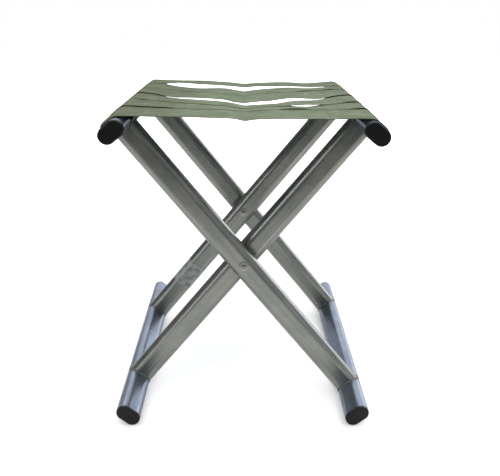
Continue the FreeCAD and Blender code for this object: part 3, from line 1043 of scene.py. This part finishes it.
def stitch_mesh(start, end):
    """A short thread with rounded ends, as points and faces."""
    direction = (end - start).normalized()
    side = direction.orthogonal().normalized()
    other = direction.cross(side)
    points, faces = [], []
    for share, girth in STITCH_RINGS:
        centre = start.lerp(end, share)
        for k in range(THREAD_SIDES):
            turn = 2 * math.pi * k / THREAD_SIDES
            outward = side * math.cos(turn) + other * math.sin(turn)
            points.append(centre + outward * THREAD_RADIUS * girth)
    last_ring = THREAD_SIDES * (len(STITCH_RINGS) - 1)
    for ring in range(0, last_ring, THREAD_SIDES):
        for k in range(THREAD_SIDES):
            a, b = ring + k, ring + (k + 1) % THREAD_SIDES
            faces.append((a, b, b + THREAD_SIDES, a + THREAD_SIDES))
    faces.append(tuple(reversed(range(THREAD_SIDES))))
    faces.append(tuple(range(last_ring, last_ring + THREAD_SIDES)))
    return points, faces


def seam_stitches(strap, x):
    """Ends of every stitch across a strap at x, above the canvas and below its flap."""
    width = edge_at(strap, "rear", x) - edge_at(strap, "front", x)
    pitch = STITCH + STITCH_GAP
    for k in range(int((width - SEAM_MARGINS) / pitch)):
        start_v = (SEAM_START + k * pitch) / width
        end_v = start_v + STITCH / width
        for surface, above in ((band_point, 1), (flap_point, -1)):
            offset = Vector((0, 0, above * (CANVAS_THICK / 2 + THREAD_PROUD)))
            yield surface(strap, x, start_v) + offset, surface(strap, x, end_v) + offset


def sew(piece, strap):
    """Adds the rows of stitches that hold each loop's flap."""
    points, faces = [], []
    for side in (-1, 1):
        for seam in SEAM_ROWS:
            for start, end in seam_stitches(strap, side * seam):
                new_points, new_faces = stitch_mesh(start, end)
                first = len(points)
                points += new_points
                faces += [tuple(first + index for index in face) for face in new_faces]
    thread_slot = len(piece.data.materials) - 1
    slots = [thread_slot] * len(faces)
    seams = link_mesh("seams", [p * MM for p in points], faces, piece.data.materials, slots)
    join(piece, seams)


def join(piece, other):
    """Merges another object's mesh into a piece."""
    both = [piece, other]
    chosen = {"selected_objects": both, "selected_editable_objects": both}
    with bpy.context.temp_override(active_object=piece, object=piece, **chosen):
        bpy.ops.object.join()


# ---- Weld beads -------------------------------------------

BEAD_RADIUS = 1.15
BEAD_POINTS = 96
BEAD_SIDES = 8
RIPPLES = 34
RIPPLE_HEIGHT = 0.16
BEAD_UNEVEN = 0.2
BEAD_PATCH = 4
BEAD_PLACES = {"front": 1.7, "rear": 5.2}
BEAD_END_STEP = 9.0


def seam_point(share):
    """The closed line where a coped leg meets its rail, in frame axes: across, along Y, up the leg."""
    flat, radius = TUBE_FLAT / MM, TUBE_ROUND / MM
    half_way = 2 * flat + math.pi * radius
    distance = share * 2 * half_way
    sign = 1 if distance < half_way else -1
    distance %= half_way
    if distance < 2 * flat:
        across, y = distance - flat, -radius
    else:
        turn = (distance - 2 * flat) / radius - math.pi / 2
        across, y = flat + radius * math.cos(turn), radius * math.sin(turn)
    beyond = max(0.0, abs(across) - flat)
    rise = math.sqrt(max(0.0, radius**2 - beyond**2))
    return Vector((sign * across, sign * y, RAIL_REACH / MM - rise))


def bead_ring(line, k, place):
    """The points round a bead at one point of its line; place picks the part of the noise it uses."""
    point, ahead, behind = line[k], line[(k + 1) % BEAD_POINTS], line[k - 1]
    direction = (ahead - behind).normalized()
    outward = Vector((point.x, point.y, 0)).normalized()
    outward = (outward - direction * outward.dot(direction)).normalized()
    other = direction.cross(outward)
    ripple = 1 + RIPPLE_HEIGHT * math.sin(2 * math.pi * RIPPLES * k / BEAD_POINTS)
    spot = Vector((point.x / BEAD_PATCH, point.y / BEAD_PATCH, place))
    reach = BEAD_RADIUS * ripple * (1 + BEAD_UNEVEN * noise.noise(spot))
    ring = []
    for m in range(BEAD_SIDES):
        turn = 2 * math.pi * m / BEAD_SIDES
        ring.append(point + (outward * math.cos(turn) + other * math.sin(turn)) * reach)
    return ring


def bead_faces(first, end):
    """The faces of one closed bead whose points start at first; end is -1 at the foot of a leg."""
    faces = []
    for k in range(BEAD_POINTS):
        here = first + k * BEAD_SIDES
        following = first + (k + 1) % BEAD_POINTS * BEAD_SIDES
        for m in range(BEAD_SIDES):
            n = (m + 1) % BEAD_SIDES
            face = [here + m, here + n, following + n, following + m]
            faces.append(face if end == -1 else face[::-1])
    return faces


def make_beads(name):
    """The rippled weld beads of one frame, at both ends of both legs."""
    stand = Matrix.Translation(PIVOT / MM) @ Matrix.Rotation(lean_of(name), 4, "Y")
    vertices, faces = [], []
    line = [seam_point(k / BEAD_POINTS) for k in range(BEAD_POINTS)]
    for end in (1, -1):
        for side in SIDES:
            low, high = LEG_BAND[name, side]
            shift = Vector((0, (low + high) / 2 / MM, 0))
            faces += bead_faces(len(vertices), end)
            for k in range(BEAD_POINTS):
                for spot in bead_ring(line, k, BEAD_END_STEP * end + BEAD_PLACES[side]):
                    vertices.append(stand @ (Vector((spot.x, spot.y, end * spot.z)) + shift) * MM)
    piece = link_mesh(f"{name}_weld_beads", vertices, faces, [weld_metal()])
    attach(piece, f"{name}_frame")
    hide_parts(f"{name}_frame_welds")
    return piece


# ---- Studio -----------------------------------------------

WHITE = (1.0, 1.0, 1.0, 1.0)
COOL_WHITE = (0.9, 0.92, 1.0, 1.0)
FLOOR_HALF = 6.0
FLOOR_DROP = 0.0003
FLOOR_LEVEL = 0.86
FLOOR_MIDDLE = (0.0, -0.1, 0.0)
# Away from its middle the floor that the tubes mirror grows dimmer, and the floor in view glows.
BRIGHT_REACH = (0.22, 1.3)
DIM_LEVEL = 0.07
GLOW_REACH = (0.45, 1.1)
GLOW_LEVELS = (0.3, 1.0)


def make_floor():
    """A pale floor; what the tubes mirror of it grows dimmer away from the stool."""
    corners = [(-FLOOR_HALF, -FLOOR_HALF, 0), (FLOOR_HALF, -FLOOR_HALF, 0)]
    corners += [(FLOOR_HALF, FLOOR_HALF, 0), (-FLOOR_HALF, FLOOR_HALF, 0)]
    made, g = new_material("pale_floor")
    where = g.here()
    seen = g.node("ShaderNodeLightPath").outputs["Is Camera Ray"]
    away = g.vector("LENGTH", g.vector("SUBTRACT", where, FLOOR_MIDDLE))
    mirrored = g.span(away, *BRIGHT_REACH, FLOOR_LEVEL, DIM_LEVEL)
    grain = g.span(g.noise(where, 90, 3.0), 0.3, 0.7, 0.985, 1.0)
    level = g.math("MAXIMUM", mirrored, g.math("MULTIPLY", seen, FLOOR_LEVEL))
    level = g.math("MULTIPLY", level, grain)
    shade = g.node("ShaderNodeCombineColor", {RED: level, GREEN: level, BLUE: level}).outputs[0]
    diffuse = g.node("ShaderNodeBsdfDiffuse", {"Color": shade})
    strength = g.math("MULTIPLY", seen, g.span(away, *GLOW_REACH, *GLOW_LEVELS))
    glow = g.node("ShaderNodeEmission", {"Color": WHITE, "Strength": strength})
    both = g.node("ShaderNodeAddShader", {0: diffuse, 1: glow})
    g.node("ShaderNodeOutputMaterial", {"Surface": both})
    floor = link_mesh("floor", corners, [(0, 1, 2, 3)], [made])
    floor.location.z = -FLOOR_DROP


STRIP_AZIMUTH = math.radians(-48)
STRIP_HALF = math.radians(8)
# How bright each light is.
SURROUNDINGS = (0.16, 0.38)
BACK_LIGHT = 0.95
SKY_LIGHT = 1.7
STRIP_LIGHT = 2.6
LOW_RIGHT_LIGHT = 0.3
RIGHT_BACK_LIGHT = 2.0


def strip_light(g, x, y, z):
    """A tall bright strip ahead on the left, from the floor up to half height."""
    azimuth = g.math("ARCTAN2", x, g.math("MULTIPLY", y, -1.0))
    off_strip = g.math("ABSOLUTE", g.math("SUBTRACT", azimuth, STRIP_AZIMUTH))
    strip = g.span(off_strip, 1.3 * STRIP_HALF, 0.7 * STRIP_HALF)
    strip = g.math("MULTIPLY", strip, g.span(z, 0.0, 0.06))
    return g.math("MULTIPLY", strip, g.span(z, 0.5, 0.42, 0.0, STRIP_LIGHT))


def light_world():
    """Dim surroundings, a soft sky, light from behind and from the right, and the strip light."""
    world = bpy.data.worlds.new("studio")
    bpy.context.scene.world = world
    g = Graph(world)
    x, y, z = g.parts(g.here("Generated"))
    sky = g.math("MULTIPLY", g.span(z, 0.42, 0.85, 0.0, SKY_LIGHT), g.span(x, -0.9, 0.3, 0.75, 1.0))
    back = g.math("MULTIPLY", g.span(y, 0.2, 0.8, 0.0, BACK_LIGHT), g.span(x, -0.7, -0.25))
    low_right = g.math("MULTIPLY", g.span(x, 0.3, 0.8, 0.0, LOW_RIGHT_LIGHT), g.span(z, 0.3, 0.08))
    right_back = g.math("MULTIPLY", g.span(x, 0.35, 0.6, 0.0, RIGHT_BACK_LIGHT), g.span(y, 0.15, 0.5))
    right_back = g.math("MULTIPLY", right_back, g.span(z, 0.55, 0.2))
    level = g.span(x, -0.6, 0.9, *SURROUNDINGS)
    for light in (back, sky, strip_light(g, x, y, z), low_right, right_back):
        level = g.math("ADD", level, light)
    tint = g.mix(g.span(z, 0.3, 0.8), COOL_WHITE, WHITE)
    seen = g.node("ShaderNodeLightPath").outputs["Is Camera Ray"]
    lighting = g.node("ShaderNodeBackground", {"Color": tint, "Strength": level})
    backdrop = g.node("ShaderNodeBackground", {"Color": WHITE, "Strength": 1.0})
    shown = g.node("ShaderNodeMixShader", {0: seen, 1: lighting, 2: backdrop})
    g.node("ShaderNodeOutputWorld", {"Surface": shown})


CAMERA_PLACE = Vector((-0.0027, -0.8197, 0.4725))
CAMERA_PITCH, CAMERA_YAW, CAMERA_ROLL = 0.3532, 0.0141, 0.0097
CAMERA_LENS, SENSOR_WIDTH = 46.47, 36.0
NEAREST_SEEN = 0.01


def make_camera():
    """The view: in front of the stool, a little above the seat, looking down at it."""
    level_ahead = Vector((math.sin(CAMERA_YAW), math.cos(CAMERA_YAW), 0))
    ahead = level_ahead * math.cos(CAMERA_PITCH) - Vector((0, 0, math.sin(CAMERA_PITCH)))
    right = Vector((math.cos(CAMERA_YAW), -math.sin(CAMERA_YAW), 0))
    up = right.cross(ahead)
    rolled_right = right * math.cos(CAMERA_ROLL) + up * math.sin(CAMERA_ROLL)
    rolled_up = up * math.cos(CAMERA_ROLL) - right * math.sin(CAMERA_ROLL)
    data = bpy.data.cameras.new("camera")
    data.lens = CAMERA_LENS
    data.sensor_width = SENSOR_WIDTH
    data.clip_start = NEAREST_SEEN
    camera = bpy.data.objects.new("camera", data)
    axes = Matrix((rolled_right, rolled_up, -ahead)).transposed()
    camera.matrix_world = Matrix.Translation(CAMERA_PLACE) @ axes.to_4x4()
    bpy.context.scene.collection.objects.link(camera)
    bpy.context.scene.camera = camera


# ---- Build ------------------------------------------------

bpy.context.scene.view_settings.view_transform = "Standard"
dress_frame()
sewing = thread_material()
for number in STRAP_EDGES:
    make_strap(number, canvas(f"canvas_{number}", number), sewing)
for frame_name in FRAMES:
    make_beads(frame_name)
make_floor()
light_world()
make_camera()
